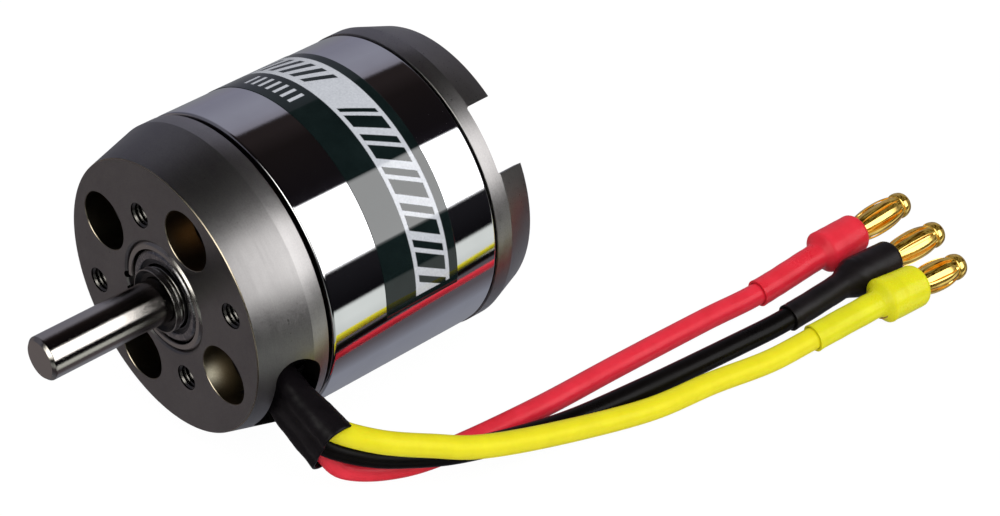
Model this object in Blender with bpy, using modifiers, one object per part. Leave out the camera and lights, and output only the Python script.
"""Brushless outrunner motor, 35 mm class, lying on its can.

Frame: metres, +Z up.  The motor axis is the Y axis.  The origin is the centre
of the flat end of the output shaft; the motor body runs towards +Y, so the
screw face of the front mount is at Y = SHAFT_FRONT.  Front means towards -Y.
Dimensions are in millimetres, turned into metres by MM; angles are in degrees.
"""
import math

import bmesh
import bpy
from mathutils import Matrix, Vector

MM = 0.001

# ------------------------------------------------------------------ shared dimensions
# Axial places are measured rearwards from the screw face.
MOTOR_R = 17.5            # front mount and can
SHAFT_R = 2.5
SHAFT_FRONT = 15.9        # shaft tip to screw face
SHAFT_REAR = 37.6         # screw face to rear end of the shaft
SHAFT_CHAMFER = 0.35

BEARING_R, BEARING_W = 5.5, 4.0
BEARING_SEAT_R = BEARING_R + 0.1
BEARING_FRONT, BEARING_REAR = 0.6, 26.0

STACK_FRONT, STACK_LEN = 11.0, 17.0
STACK_MID = STACK_FRONT + STACK_LEN / 2

SLOT_ANGLE = -27.0        # cable outlet in the side of the mount
WIRE_PITCH = 2.6          # spacing of the three wires across the outlet

FINE_STEPS, MEDIUM_STEPS, COARSE_STEPS = 48, 24, 20     # steps round a full turn

# ------------------------------------------------------------------ scene and materials
for old in list(bpy.data.objects):
    bpy.data.objects.remove(old, do_unlink=True)

PARTS = bpy.data.collections.new("outrunner_motor")
CUTTERS = bpy.data.collections.new("cutters")
bpy.context.scene.collection.children.link(PARTS)
bpy.context.scene.collection.children.link(CUTTERS)

LOOKS = {   # base colour, roughness, metallic
    "gunmetal": ((0.10, 0.095, 0.10), 0.35, 0.9),
    "chrome": ((0.78, 0.78, 0.80), 0.05, 1.0),
    "ground_steel": ((0.50, 0.48, 0.46), 0.18, 1.0),
    "bearing_steel": ((0.60, 0.60, 0.60), 0.2, 1.0),
    "black_oxide": ((0.03, 0.03, 0.03), 0.4, 0.6),
    "lamination": ((0.22, 0.22, 0.24), 0.5, 0.8),
    "nylon": ((0.75, 0.72, 0.62), 0.5, 0.0),
    "copper": ((0.60, 0.27, 0.10), 0.3, 0.9),
    "magnet": ((0.45, 0.45, 0.47), 0.3, 0.9),
    "silicone_yellow": ((0.80, 0.72, 0.02), 0.45, 0.0),
    "silicone_black": ((0.01, 0.01, 0.01), 0.45, 0.0),
    "silicone_red": ((0.65, 0.02, 0.03), 0.45, 0.0),
    "gold": ((0.85, 0.55, 0.12), 0.15, 1.0),
}


def material(name, look):
    """The named material, made from a LOOKS entry on first use."""
    if name in bpy.data.materials:
        return bpy.data.materials[name]
    colour, roughness, metallic = LOOKS[look]
    mat = bpy.data.materials.new(name)
    mat.use_nodes = True
    bsdf = mat.node_tree.nodes["Principled BSDF"]
    bsdf.inputs["Base Color"].default_value = (*colour, 1.0)
    bsdf.inputs["Roughness"].default_value = roughness
    bsdf.inputs["Metallic"].default_value = metallic
    return mat


# ------------------------------------------------------------------ objects
def empty(name, location, rotation=(0, 0, 0), parent=None):
    obj = bpy.data.objects.new(name, None)
    obj.location = [v * MM for v in location]
    obj.rotation_euler = rotation
    obj.parent = parent
    PARTS.objects.link(obj)
    return obj


def axis_frame(name):
    """Empty whose local Z is the motor axis, with z = 0 on the screw face."""
    return empty(name, (0, SHAFT_FRONT, 0), (-math.pi / 2, 0, 0))


STATOR = axis_frame("stator_frame")
ROTOR = axis_frame("rotor_axis")
HARNESS = empty("harness", (0, 0, 0))


def place(name, mesh, parent, mat=None, smooth=True):
    obj = bpy.data.objects.new(name, mesh)
    obj.parent = parent
    PARTS.objects.link(obj)
    if mat is not None:
        mesh.materials.append(material(mat, mat))
    if smooth:
        mesh.shade_smooth()
        mesh.set_sharp_from_angle(angle=math.radians(30))
    return obj


def combine(obj, helper, operation='DIFFERENCE'):
    """Apply a helper object to obj by a Boolean, and hide the helper."""
    PARTS.objects.unlink(helper)
    CUTTERS.objects.link(helper)
    helper.hide_render = True
    helper.display_type = 'WIRE'
    mod = obj.modifiers.new(operation.lower(), 'BOOLEAN')
    mod.operation = operation
    mod.solver = 'EXACT'
    mod.object = helper


# ------------------------------------------------------------------ shapes
def polar(radius, degrees):
    """Point at a world angle (from +X towards +Z) in a frame whose z is the axis."""
    angle = math.radians(degrees)
    return Vector((radius * math.cos(angle), -radius * math.sin(angle), 0.0))


def new_mesh(name, geo):
    mesh = bpy.data.meshes.new(name)
    geo.to_mesh(mesh)
    geo.free()
    return mesh


def turned(name, profile, parent, mat, steps, closed=True):
    """Solid of revolution from (radius, axial) points."""
    geo = bmesh.new()
    verts = [geo.verts.new((radius * MM, 0, z * MM)) for radius, z in profile]
    pairs = list(zip(verts, verts[1:]))
    if closed:
        pairs.append((verts[-1], verts[0]))
    for pair in pairs:
        geo.edges.new(pair)
    obj = place(name, new_mesh(name, geo), parent, mat, smooth=False)
    mod = obj.modifiers.new("turn", 'SCREW')
    mod.axis = 'Z'
    mod.angle = 2 * math.pi
    mod.steps = mod.render_steps = steps
    mod.use_merge_vertices = True
    mod.merge_threshold = 1e-7
    mod.use_smooth_shade = True
    return obj


def ring(name, inner_r, outer_r, front, rear, parent, mat, steps):
    return turned(name, [(inner_r, rear), (outer_r, rear), (outer_r, front), (inner_r, front)],
                  parent, mat, steps)


def cylinder(name, radius, low, high, parent, mat=None, steps=COARSE_STEPS, matrix=None):
    geo = bmesh.new()
    bmesh.ops.create_cone(geo, cap_ends=True, segments=steps, radius1=radius * MM,
                          radius2=radius * MM, depth=(high - low) * MM,
                          matrix=Matrix.Translation((0, 0, (low + high) / 2 * MM)))
    if matrix is not None:
        bmesh.ops.transform(geo, matrix=matrix, verts=geo.verts)
    return place(name, new_mesh(name, geo), parent, mat)


def box(name, size, centre, parent, mat=None, turn=0.0):
    """Box at a centre given for angle 0, then turned about the motor axis."""
    geo = bmesh.new()
    bmesh.ops.create_cube(geo, size=1.0)
    bmesh.ops.scale(geo, vec=[s * MM for s in size], verts=geo.verts)
    bmesh.ops.translate(geo, vec=[c * MM for c in centre], verts=geo.verts)
    obj = place(name, new_mesh(name, geo), parent, mat, smooth=False)
    obj.rotation_euler = (0, 0, -math.radians(turn))
    return obj


def curve_to_mesh(curve, name):
    """Turn a curve into a mesh with its seams welded."""
    obj = bpy.data.objects.new(name, curve)
    bpy.context.scene.collection.objects.link(obj)
    deps = bpy.context.evaluated_depsgraph_get()
    mesh = bpy.data.meshes.new_from_object(obj.evaluated_get(deps))
    mesh.name = name
    bpy.data.objects.remove(obj, do_unlink=True)
    bpy.data.curves.remove(curve)
    geo = bmesh.new()
    geo.from_mesh(mesh)
    bmesh.ops.remove_doubles(geo, verts=geo.verts, dist=2e-7)
    bmesh.ops.recalc_face_normals(geo, faces=geo.faces)
    geo.to_mesh(mesh)
    geo.free()
    return mesh


def outline_mesh(name, loops, depth):
    """Flat plate of the given depth, centred on z = 0, from closed 2D loops."""
    curve = bpy.data.curves.new(name, 'CURVE')
    curve.dimensions = '2D'
    curve.fill_mode = 'BOTH'
    curve.extrude = depth / 2 * MM
    for loop in loops:
        spline = curve.splines.new('POLY')
        spline.points.add(len(loop) - 1)
        for point, (x, y) in zip(spline.points, loop):
            point.co = (x * MM, y * MM, 0, 1)
        spline.use_cyclic_u = True
    return curve_to_mesh(curve, name)


def tube_curve(name, points, radius, resolution):
    """Round rod or wire along points given in millimetres."""
    curve = bpy.data.curves.new(name, 'CURVE')
    curve.dimensions = '3D'
    curve.bevel_depth = radius * MM
    curve.bevel_resolution = resolution
    curve.resolution_u = 1
    curve.render_resolution_u = 0
    curve.use_fill_caps = True
    spline = curve.splines.new('POLY')
    spline.points.add(len(points) - 1)
    for point, place_mm in zip(spline.points, points):
        point.co = (*[c * MM for c in place_mm], 1)
    return curve


def spline_points(control, per_span):
    """Catmull-Rom curve through the control points."""
    pts = [2 * control[0] - control[1]] + control + [2 * control[-1] - control[-2]]
    out = []
    for i in range(1, len(pts) - 2):
        before, start, end, after = pts[i - 1:i + 3]
        for j in range(per_span):
            t = j / per_span
            out.append(0.5 * ((2 * start) + (end - before) * t
                              + (2 * before - 5 * start + 4 * end - after) * t * t
                              + (3 * start - before - 3 * end + after) * t ** 3))
    out.append(pts[-2])
    return out


def loft(name, rings, parent, mat, thickness):
    """Open tube through rings of points, given a wall by Solidify."""
    geo = bmesh.new()
    loops = [[geo.verts.new(p * MM) for p in points] for points in rings]
    for this, following in zip(loops, loops[1:]):
        for i in range(len(this)):
            j = (i + 1) % len(this)
            geo.faces.new((this[i], this[j], following[j], following[i]))
    bmesh.ops.recalc_face_normals(geo, faces=geo.faces)
    obj = place(name, new_mesh(name, geo), parent, mat)
    mod = obj.modifiers.new("wall", 'SOLIDIFY')
    mod.thickness = thickness * MM
    mod.offset = -1.0
    mod.use_rim = True


# ------------------------------------------------------------------ front mount
MOUNT_FACE_R = 15.87
MOUNT_TAPER = 6.18        # axial length of the tapered part
MOUNT_LEN = 8.22
MOUNT_FLANGE = 3.4        # thickness of the screw flange
MOUNT_WALL_IN = 15.2
CLIP_SEAT_R, CLIP_SEAT_DEPTH = 6.45, 0.55
TUBE_R = 6.6              # bearing tube that carries the stator
TUBE_BORE = 4.3
TUBE_END = 30.3
FRONT_SEAT_END, REAR_SEAT_START = 4.9, 25.7

BIG_HOLE_R, BIG_HOLE_PCR, BIG_HOLE_A0 = 3.4, 10.94, 63.9
SCREW_R = 1.3             # M3 tapped holes, cut at the minor diameter
SCREW_PAIRS = ((19 / 2, 109.1), (25 / 2, 19.1))     # pitch radius, angle
FLANGE_CUT = (-1, MOUNT_FLANGE + 1)                 # axial reach of the hole cutters

SLOT_LEN, SLOT_WIDTH, SLOT_MID = 13.6, 4.9, 4.65
SLOT_CUT_R, SLOT_CUT_DEPTH = 16.4, 8.0              # middle and depth of the cutter


def cut_flange_hole(mount, name, radius, centre, steps=COARSE_STEPS):
    hole = cylinder(name, radius, *FLANGE_CUT, STATOR, steps=steps)
    hole.location = centre * MM
    combine(mount, hole)


def cut_cable_slot(mount):
    """Round-ended side slot that also opens into the hollow behind the flange."""
    end_r = SLOT_WIDTH / 2
    end_at = SLOT_LEN / 2 - end_r
    stadium = []
    for side, start in ((1, -90), (-1, 90)):
        for k in range(9):
            angle = math.radians(start + 22.5 * k)
            stadium.append((side * end_at + end_r * math.cos(angle), end_r * math.sin(angle)))
    mesh = outline_mesh("cut_cable_slot", [stadium], SLOT_CUT_DEPTH)
    radial = polar(1, SLOT_ANGLE)
    tangent = polar(1, SLOT_ANGLE + 90)
    turn = Matrix((tangent, Vector((0, 0, 1)), radial)).transposed().to_4x4()
    turn.translation = (radial * SLOT_CUT_R + Vector((0, 0, SLOT_MID))) * MM
    mesh.transform(turn)
    mesh.flip_normals()       # those axes are left-handed, so the faces came out reversed
    combine(mount, place("cut_cable_slot", mesh, STATOR, smooth=False))


def front_mount():
    mount = turned("mount_housing", [
        (BEARING_SEAT_R, TUBE_END), (TUBE_R, TUBE_END), (TUBE_R, MOUNT_FLANGE),
        (MOUNT_WALL_IN, MOUNT_FLANGE), (MOUNT_WALL_IN, MOUNT_LEN),
        (MOTOR_R, MOUNT_LEN), (MOTOR_R, MOUNT_TAPER), (MOUNT_FACE_R + 0.06, 0.22),
        (MOUNT_FACE_R - 0.2, 0.0), (CLIP_SEAT_R, 0.0), (CLIP_SEAT_R, CLIP_SEAT_DEPTH),
        (BEARING_SEAT_R, CLIP_SEAT_DEPTH), (BEARING_SEAT_R, FRONT_SEAT_END),
        (TUBE_BORE, FRONT_SEAT_END), (TUBE_BORE, REAR_SEAT_START),
        (BEARING_SEAT_R, REAR_SEAT_START)],
        STATOR, "gunmetal", FINE_STEPS)
    for k in range(4):
        cut_flange_hole(mount, f"cut_vent_{k}", BIG_HOLE_R,
                        polar(BIG_HOLE_PCR, BIG_HOLE_A0 + 90 * k))
    for k, (radius, angle) in enumerate(SCREW_PAIRS):
        for half in (0, 180):
            cut_flange_hole(mount, f"cut_screw_{k}_{half}", SCREW_R,
                            polar(radius, angle + half), steps=16)
    cut_cable_slot(mount)


# ------------------------------------------------------------------ bearings
OUTER_RACE_IN, INNER_RACE_OUT = 4.6, 3.5
RACE_BORE = 2.57
GROOVE_DEPTH = 0.25                     # ball track in each race
GROOVE_HALF, GROOVE_FLOOR_HALF = 0.85, 0.5
SHIELD_IN, SHIELD_OUT, SHIELD_T, SHIELD_INSET = 3.7, 4.5, 0.2, 0.15
BALLS, BALL_R, BALL_PCR = 7, 0.7, 4.05
CAGE_IN, CAGE_OUT, CAGE_HALF = 3.85, 4.25, 0.3

CLIP_IN, CLIP_OUT, CLIP_T, CLIP_MID = 5.7, 6.35, 0.36, 0.28
CLIP_GAP_ANGLE, CLIP_GAP_HALF = 187.0, 11.0      # where the retaining ring is open


def ball_set(side, mid):
    """The balls and their cage, which turn as one set."""
    frame = axis_frame(f"{side}_ball_axis")
    cage = ring(f"{side}_ball_set", CAGE_IN, CAGE_OUT, mid - CAGE_HALF, mid + CAGE_HALF,
                frame, "bearing_steel", 2 * BALLS)
    geo = bmesh.new()
    for k in range(BALLS):
        centre = polar(BALL_PCR, 360 * k / BALLS) + Vector((0, 0, mid))
        bmesh.ops.create_uvsphere(geo, u_segments=8, v_segments=5, radius=BALL_R * MM,
                                  matrix=Matrix.Translation(centre * MM))
    name = f"{side}_balls"
    combine(cage, place(name, new_mesh(name, geo), frame), 'UNION')


def bearing(side, front):
    mid = front + BEARING_W / 2
    rear = front + BEARING_W
    outer_floor = OUTER_RACE_IN + GROOVE_DEPTH
    inner_floor = INNER_RACE_OUT - GROOVE_DEPTH
    turned(f"{side}_bearing_outer", [
        (OUTER_RACE_IN, rear), (BEARING_R, rear), (BEARING_R, front), (OUTER_RACE_IN, front),
        (OUTER_RACE_IN, mid - GROOVE_HALF), (outer_floor, mid - GROOVE_FLOOR_HALF),
        (outer_floor, mid + GROOVE_FLOOR_HALF), (OUTER_RACE_IN, mid + GROOVE_HALF)],
        STATOR, "bearing_steel", MEDIUM_STEPS)
    turned(f"{side}_bearing_inner", [
        (RACE_BORE, rear), (INNER_RACE_OUT, rear), (INNER_RACE_OUT, mid + GROOVE_HALF),
        (inner_floor, mid + GROOVE_FLOOR_HALF), (inner_floor, mid - GROOVE_FLOOR_HALF),
        (INNER_RACE_OUT, mid - GROOVE_HALF), (INNER_RACE_OUT, front), (RACE_BORE, front)],
        ROTOR, "bearing_steel", COARSE_STEPS)
    shield = front + SHIELD_INSET if side == "front" else rear - SHIELD_INSET - SHIELD_T
    ring(f"{side}_bearing_shield", SHIELD_IN, SHIELD_OUT, shield, shield + SHIELD_T,
         STATOR, "bearing_steel", MEDIUM_STEPS)
    ball_set(side, mid)


def retaining_ring():
    """Open ring in front of the front bearing."""
    name = "front_retaining_ring"
    arc = [CLIP_GAP_ANGLE + CLIP_GAP_HALF + (360 - 2 * CLIP_GAP_HALF) * k / 32
           for k in range(33)]
    loop = [polar(CLIP_OUT, a).xy for a in arc] + [polar(CLIP_IN, a).xy for a in reversed(arc)]
    clip = place(name, outline_mesh(name, [loop], CLIP_T), STATOR, "ground_steel")
    clip.location = (0, 0, CLIP_MID * MM)


# ------------------------------------------------------------------ stator core
TEETH = 12
TOOTH_A0 = -15.0
STACK_BORE, STACK_HUB = 6.8, 8.3
TIP_SLOPE = 0.35          # radial rise from tooth neck to the edge of a flared tip
INSULATOR_T, INSULATOR_OFFSET = 0.7, 0.45   # thickness; its middle from the stack end


def tooth_angle(tooth):
    return TOOTH_A0 + 360 / TEETH * tooth


def lamination(tooth_w, tip_r, tip_half, neck_r, bore):
    """Toothed outline and bore; tips wider (in degrees) than the neck are flared."""
    root = math.degrees(math.asin(tooth_w / 2 / STACK_HUB))
    neck = math.degrees(math.asin(tooth_w / 2 / neck_r))
    one_side = [(STACK_HUB, -root), (neck_r, -neck)]
    tip_steps = (-1, 1)
    if tip_half > neck:
        one_side.append((neck_r + TIP_SLOPE, -tip_half))
        tip_steps = (-1, -0.5, 0, 0.5, 1)
    tooth = one_side + [(tip_r, tip_half * f) for f in tip_steps]
    tooth += [(radius, -angle) for radius, angle in reversed(one_side)]
    outer = [polar(radius, tooth_angle(k) + angle).xy
             for k in range(TEETH) for radius, angle in tooth]
    return [outer, [polar(bore, 360 * k / 32).xy for k in range(32)]]


def stator_plate(name, loops, depth, mid, mat):
    plate = place(name, outline_mesh(name, loops, depth), STATOR, mat, smooth=False)
    plate.location = (0, 0, mid * MM)


def stator_core():
    stator_plate("stator_core", lamination(tooth_w=2.6, tip_r=13.05, tip_half=11.4,
                                           neck_r=12.05, bore=STACK_BORE),
                 STACK_LEN, STACK_MID, "lamination")
    for side, mid in (("front", STACK_FRONT - INSULATOR_OFFSET),
                      ("rear", STACK_FRONT + STACK_LEN + INSULATOR_OFFSET)):
        stator_plate(f"insulator_{side}", lamination(tooth_w=2.2, tip_r=12.6, tip_half=4.8,
                                                     neck_r=12.2, bore=STACK_BORE + 0.1),
                     INSULATOR_T, mid, "nylon")


# ------------------------------------------------------------------ windings
COIL_IN_R, COIL_OUT_R = 8.75, 11.7
COIL_IN_HALF, COIL_OUT_HALF = 2.05, 2.85      # half widths at those two radii
COIL_HALF_LEN = 10.9
COIL_ROUND = 0.9
WINDOW_HALF_LEN, WINDOW_HALF_W = 9.35, 1.5    # opening for the tooth
WINDOW_DEPTH, WINDOW_MID_R = 8, 10.2
BUS_Z, BUS_R, BUS_STEPS = 7.2, 0.4, 26
LEAD_DROP_Z, LEAD_EXIT_R, LEAD_EXIT_Z = 5.3, 12.4, 4.4
POST_R, POST_END = 0.33, 9.4

PHASES = {  # teeth, arc radius, arc angle at the lead and at the far end, lead offset
    "a": ((0, 1, 6, 7), 11.2, -13.0, 195.0, WIRE_PITCH),
    "b": ((2, 3, 8, 9), 10.2, -27.0, 255.0, 0.0),
    "c": ((4, 5, 10, 11), 9.2, 317.0, 105.0, -WIRE_PITCH),
}


def coil_mesh(name, angles):
    """Trapezoid coils, one round each tooth, before the tooth window is cut."""
    mesh = bpy.data.meshes.new(name)
    whole = bmesh.new()
    for angle in angles:
        coil = bmesh.new()
        for v in bmesh.ops.create_cube(coil, size=1.0)["verts"]:
            inner = v.co.x < 0
            half_w = COIL_IN_HALF if inner else COIL_OUT_HALF
            v.co = Vector((COIL_IN_R if inner else COIL_OUT_R,
                           half_w * (1 if v.co.y > 0 else -1),
                           STACK_MID + COIL_HALF_LEN * (1 if v.co.z > 0 else -1))) * MM
        edges = [e for e in coil.edges if abs(e.verts[0].co.x - e.verts[1].co.x) > 1e-4]
        bmesh.ops.bevel(coil, geom=edges, offset=COIL_ROUND * MM, segments=2, profile=0.5,
                        affect='EDGES')
        bmesh.ops.rotate(coil, verts=coil.verts,
                         matrix=Matrix.Rotation(-math.radians(angle), 3, 'Z'))
        # the mesh carries each coil into the whole, then takes the finished set
        coil.to_mesh(mesh)
        coil.free()
        whole.from_mesh(mesh)
    whole.to_mesh(mesh)
    whole.free()
    return mesh


def bus_mesh(name, radius, start, end, offset):
    """Link arc with its lead, which drops forward and runs out to the slot."""
    arc = [polar(radius, start + (end - start) * k / BUS_STEPS) + Vector((0, 0, BUS_Z))
           for k in range(BUS_STEPS + 1)]
    lead = [polar(LEAD_EXIT_R, SLOT_ANGLE) + polar(offset, SLOT_ANGLE + 90)
            + Vector((0, 0, LEAD_EXIT_Z)),
            polar(radius, start) + Vector((0, 0, LEAD_DROP_Z))]
    return curve_to_mesh(tube_curve(name, lead + arc, BUS_R, 0), name)


def winding(phase, teeth, bus_r, start, end, offset):
    angles = [tooth_angle(tooth) for tooth in teeth]
    name = f"winding_phase_{phase}"
    coils = place(name, coil_mesh(name, angles), STATOR, "copper", smooth=False)
    for k, angle in enumerate(angles):
        combine(coils, box(f"cut_tooth_{phase}{k}",
                           (WINDOW_DEPTH, 2 * WINDOW_HALF_W, 2 * WINDOW_HALF_LEN),
                           (WINDOW_MID_R, 0, STACK_MID), STATOR, turn=angle))
    name = f"join_bus_{phase}"
    combine(coils, place(name, bus_mesh(name, bus_r, start, end, offset), STATOR), 'UNION')
    for k, angle in enumerate(angles):
        post = cylinder(f"join_post_{phase}{k}", POST_R, BUS_Z, POST_END, STATOR, steps=8)
        post.location = polar(bus_r, angle) * MM
        combine(coils, post, 'UNION')


# ------------------------------------------------------------------ rotor
CAN_IN = 15.9
CAN_FRONT, CAN_REAR = 8.82, 31.78

BELL_R, BELL_END_R = 17.6, 16.2
BELL_FRONT, BELL_BAND, BELL_REAR = 31.97, 34.03, 38.08
BELL_WEB = 33.6                         # rear face of the web
BELL_HUB_R, BELL_HUB_REAR, BELL_BORE = 5.6, 37.9, 2.6
SPIGOT_IN, SPIGOT_OUT, SPIGOT_FRONT = 14.8, 15.75, 30.3
BOSS_R, BOSS_FRONT = 4.4, 31.2
NOTCH_W, NOTCH_FLOOR, NOTCH_MID_R = 8.0, 33.79, 16.4
NOTCH_CUT = 8                           # radial and axial size of the cutter
NOTCH_ANGLES = (40.0, 160.0, 280.0)
WINDOWS = 6
WINDOW_OUT_R, WINDOW_OUT_HALF = 13.3, 19.5      # radius and half angle of each edge
WINDOW_IN_R, WINDOW_IN_HALF = 7.2, 14
WINDOW_CUT_MID, WINDOW_CUT_DEPTH = 32.8, 5.0
GRUB_Z = 35.8

MAGNETS = 14
MAGNET_SIZE = (1.9, 5.3, 16.5)          # radial, tangential, axial
MAGNET_MID_R, MAGNET_A0 = 14.35, 7


def flux_ring():
    turned("flux_ring", [
        (CAN_IN, CAN_REAR), (MOTOR_R - 0.25, CAN_REAR), (MOTOR_R, CAN_REAR - 0.25),
        (MOTOR_R, CAN_FRONT + 0.3), (MOTOR_R - 0.3, CAN_FRONT), (CAN_IN, CAN_FRONT)],
        ROTOR, "chrome", FINE_STEPS)


def cut_bell_windows(bell):
    outline = [polar(WINDOW_OUT_R, WINDOW_OUT_HALF * (2 * k / 5 - 1)).xy for k in range(6)]
    outline += [polar(WINDOW_IN_R, WINDOW_IN_HALF * (1 - 2 * k / 3)).xy for k in range(4)]
    mesh = outline_mesh("cut_window", [outline], WINDOW_CUT_DEPTH)
    pitch = 360 / WINDOWS
    for k in range(WINDOWS):
        hole = place(f"cut_window_{k}", mesh, ROTOR, smooth=False)
        hole.location = (0, 0, WINDOW_CUT_MID * MM)
        hole.rotation_euler = (0, 0, -math.radians(NOTCH_ANGLES[0] + pitch * (k + 0.5)))
        combine(bell, hole)


def grub_screws(bell):
    """Radial screws in the hub, each in its own hole, in line with two notches."""
    sideways = Matrix.Rotation(math.pi / 2, 4, 'Y')
    for k, angle in enumerate(NOTCH_ANGLES[:2]):
        hole = cylinder(f"cut_grub_{k}", 1.55, 1.5, 7.0, ROTOR, steps=16, matrix=sideways)
        grub = cylinder(f"grub_screw_{k + 1}", 1.4, 2.75, 5.3, ROTOR, "black_oxide", 12,
                        sideways)
        for obj in (hole, grub):
            obj.location = (0, 0, GRUB_Z * MM)
            obj.rotation_euler = (0, 0, -math.radians(angle))
        combine(bell, hole)


def rear_bell():
    bell = turned("rear_bell", [
        (BELL_BORE, BELL_HUB_REAR), (BELL_HUB_R, BELL_HUB_REAR), (BELL_HUB_R, BELL_WEB),
        (15.1, BELL_WEB), (14.7, BELL_REAR), (BELL_END_R - 0.25, BELL_REAR),
        (BELL_END_R, BELL_REAR - 0.25), (BELL_R, BELL_BAND), (BELL_R, BELL_FRONT),
        (SPIGOT_OUT, BELL_FRONT), (SPIGOT_OUT, SPIGOT_FRONT), (SPIGOT_IN, SPIGOT_FRONT),
        (SPIGOT_IN, BELL_FRONT), (BOSS_R, BELL_FRONT), (BOSS_R, BOSS_FRONT),
        (BELL_BORE, BOSS_FRONT)],
        ROTOR, "gunmetal", FINE_STEPS)
    for k, angle in enumerate(NOTCH_ANGLES):
        combine(bell, box(f"cut_notch_{k}", (NOTCH_CUT, NOTCH_W, NOTCH_CUT),
                          (NOTCH_MID_R, 0, NOTCH_FLOOR + NOTCH_CUT / 2), ROTOR, turn=angle))
    cut_bell_windows(bell)
    grub_screws(bell)


def shaft():
    end_r = SHAFT_R - SHAFT_CHAMFER
    turned("shaft", [
        (0.0, SHAFT_REAR), (end_r, SHAFT_REAR), (SHAFT_R, SHAFT_REAR - SHAFT_CHAMFER),
        (SHAFT_R, SHAFT_CHAMFER - SHAFT_FRONT), (end_r, -SHAFT_FRONT), (0.0, -SHAFT_FRONT)],
        ROTOR, "ground_steel", MEDIUM_STEPS, closed=False)
    turned("shaft_collar", [
        (2.58, 0.45), (3.4, 0.45), (3.4, -0.85), (3.2, -0.85), (3.0, -0.45), (2.58, -0.45)],
        ROTOR, "black_oxide", COARSE_STEPS)
    ring("rear_spacer", 2.6, 3.4, 30.2, 31.0, ROTOR, "bearing_steel", COARSE_STEPS)


def magnets():
    for k in range(MAGNETS):
        box(f"magnet_{k + 1:02d}", MAGNET_SIZE, (MAGNET_MID_R, 0, STACK_MID),
            ROTOR, "magnet", turn=360 / MAGNETS * k + MAGNET_A0)


# ------------------------------------------------------------------ cable
# Three silicone wires lie side by side in a flat shrink sleeve, leave the slot
# radially, then drop to the floor and run back past the can.
OUTWARD = Vector((math.cos(math.radians(SLOT_ANGLE)), 0, math.sin(math.radians(SLOT_ANGLE))))
ACROSS = Vector((-OUTWARD.z, 0, OUTWARD.x))
REARWARD = Vector((0, 1, 0))
CABLE_Y = 4.7             # cable centre behind the screw face
CABLE_DRIFT = 0.095       # rearward drift per mm outside the mount

SLEEVE_STATIONS = (       # distance from the motor axis, half width, half thickness
    (13.4, 4.2, 1.65), (17.5, 4.2, 1.65), (20.5, 4.3, 1.8), (23.7, 4.4, 1.95))
SLEEVE_WALL = 0.28

WIRE_R = 1.2
WIRE_SLEEVE_STATIONS = (13.2, 17.5, 21.0, 23.3, 24.3)   # distance from the motor axis
REST = 1.3 - BELL_R       # wire centre when on the floor, which is level with the bell
# Points are (X, Y from the screw face, Z).  The last way point is the mouth of
# the solder cup and the tip is the end of the plug; shrink_r is over the cup.
WIRES = {
    "yellow": dict(offset=WIRE_PITCH, tip=(40.8, 83.8, -15.05), shrink_r=2.6, way=(
        (24.8, 8.6, -9.8), (27.1, 13.5, -11.6), (29.6, 18.6, -12.9),
        (32.1, 27.4, -14.4), (34.2, 39.0, REST), (35.6, 47.5, REST),
        (37.0, 55.0, REST), (37.7, 61.5, -16.0), (39.2, 70.4, -14.85))),
    "black": dict(offset=0.0, tip=(35.1, 86.5, -14.7), shrink_r=2.35, way=(
        (22.5, 7.9, -12.2), (24.5, 11.8, -13.5), (27.0, 18.5, -14.9),
        (29.5, 30.0, REST), (31.3, 41.5, REST), (32.7, 55.0, REST),
        (33.7, 61.8, -15.75), (34.1, 72.0, -15.1))),
    "red": dict(offset=-WIRE_PITCH, tip=(28.5, 87.9, -14.5), shrink_r=2.55, way=(
        (20.7, 7.0, -14.6), (22.4, 11.7, REST), (24.4, 17.5, REST),
        (25.8, 30.0, REST), (26.3, 42.0, REST), (27.0, 55.0, REST),
        (27.9, 63.0, -16.0), (28.4, 72.7, -15.05))),
}
CUP_LEN, CUP_R, CUP_BORE, CUP_DEPTH, CUP_MOUTH = 6.4, 1.95, 1.4, 4.6, 0.3
WIRE_IN_CUP = 3.9
PIN_R, PIN_CAP_R, PIN_CAP_LEN = 0.95, 1.57, 1.75
SPRING_SHAPE = ((1.38, 0.0), (1.8, 0.3), (1.8, 0.7), (1.4, 1.0))  # radius, part of length
SPRING_WALL = 0.2
SHRINK_WIRE_R, SHRINK_WALL = 1.62, 0.26
SHRINK_FLARE = 1.9        # length over which the shrink widens ahead of the cup


def in_sleeve(distance, offset=0.0):
    drift = CABLE_DRIFT * max(0.0, distance - MOTOR_R)
    return OUTWARD * distance + ACROSS * offset + REARWARD * (SHAFT_FRONT + CABLE_Y + drift)


def cable_sleeve():
    angles = [2 * math.pi * (k + 0.5) / 16 for k in range(16)]
    rings = []
    for distance, half_w, half_t in SLEEVE_STATIONS:
        rings.append([
            in_sleeve(distance)
            + ACROSS * (math.copysign(half_w - half_t, math.cos(a)) + half_t * math.cos(a))
            + REARWARD * (half_t * math.sin(a)) for a in angles])
    loft("cable_sleeve", rings, HARNESS, "silicone_black", SLEEVE_WALL)


def wire(colour, offset, way, cup_end):
    name = f"wire_{colour}"
    control = [in_sleeve(distance, offset) for distance in WIRE_SLEEVE_STATIONS]
    control += way + [cup_end]
    curve = tube_curve(name, spline_points(control, 3), WIRE_R, 1)
    curve.materials.append(material(f"insulation_{colour}", f"silicone_{colour}"))
    obj = bpy.data.objects.new(name, curve)
    obj.parent = HARNESS
    PARTS.objects.link(obj)


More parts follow.
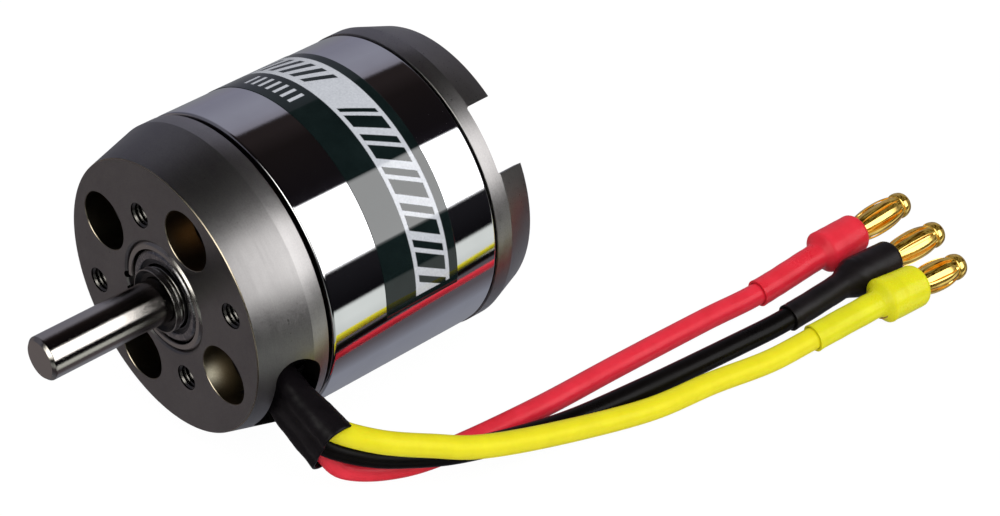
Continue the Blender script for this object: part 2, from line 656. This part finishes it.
def plug(colour, seat, axis, length):
    """Solder cup, collar, thin pin and domed cap with a spring, on their own axis."""
    frame = empty(f"plug_{colour}", seat, axis.to_track_quat('Z', 'Y').to_euler(), HARNESS)
    cap = length - PIN_CAP_LEN
    collar = CUP_LEN + 0.4
    turned(f"bullet_{colour}", [
        (0.0, length), (0.85, length - 0.2), (1.38, length - 0.65),
        (PIN_CAP_R, length - 1.2), (PIN_CAP_R, cap), (PIN_R, cap), (PIN_R, collar),
        (1.9, collar), (CUP_R, CUP_LEN), (CUP_R, CUP_MOUTH), (CUP_BORE, CUP_MOUTH),
        (CUP_BORE, CUP_DEPTH), (0.0, CUP_DEPTH)], frame, "gold", 16, closed=False)
    start, end = collar + 0.15, cap - 0.15
    outer = [(radius, start + (end - start) * t) for radius, t in SPRING_SHAPE]
    inner = [(radius - SPRING_WALL, z) for radius, z in outer]
    turned(f"lantern_spring_{colour}", outer[::-1] + inner, frame, "gold", 16)


def plug_sleeve(colour, way, axis, shrink_r):
    """Heat-shrink over the wire end and the solder cup."""
    seat = way[-1]
    path = spline_points(way[-3:] + [seat + axis * CUP_LEN], 4)
    centre = [p for p in path if (p - way[-2]).dot(axis) > -0.2]
    rings = []
    for i, p in enumerate(centre):
        tangent = (centre[min(i + 1, len(centre) - 1)] - centre[max(i - 1, 0)]).normalized()
        t = min(1.0, max(0.0, ((p - seat).dot(axis) + SHRINK_FLARE) / SHRINK_FLARE))
        radius = SHRINK_WIRE_R + (shrink_r - SHRINK_WIRE_R) * (3 * t * t - 2 * t ** 3)
        side = tangent.cross(Vector((0, 0, 1))).normalized()
        upward = side.cross(tangent).normalized()
        rings.append([p + side * (radius * math.cos(a)) + upward * (radius * math.sin(a))
                      for a in (2 * math.pi * k / 12 for k in range(12))])
    loft(f"plug_sleeve_{colour}", rings, HARNESS, f"silicone_{colour}", SHRINK_WALL)


def wire_with_plug(colour, offset, tip, shrink_r, way):
    face = Vector((0, SHAFT_FRONT, 0))
    way = [Vector(p) + face for p in way]
    seat = way[-1]
    reach = Vector(tip) + face - seat
    axis = reach.normalized()
    wire(colour, offset, way, seat + axis * WIRE_IN_CUP)
    plug(colour, seat, axis, reach.length)
    plug_sleeve(colour, way, axis, shrink_r)


# ------------------------------------------------------------------ build
front_mount()
bearing("front", BEARING_FRONT)
bearing("rear", BEARING_REAR)
retaining_ring()
stator_core()
for phase_name, phase_row in PHASES.items():
    winding(phase_name, *phase_row)
flux_ring()
rear_bell()
shaft()
magnets()
cable_sleeve()
for wire_colour, wire_row in WIRES.items():
    wire_with_plug(wire_colour, **wire_row)
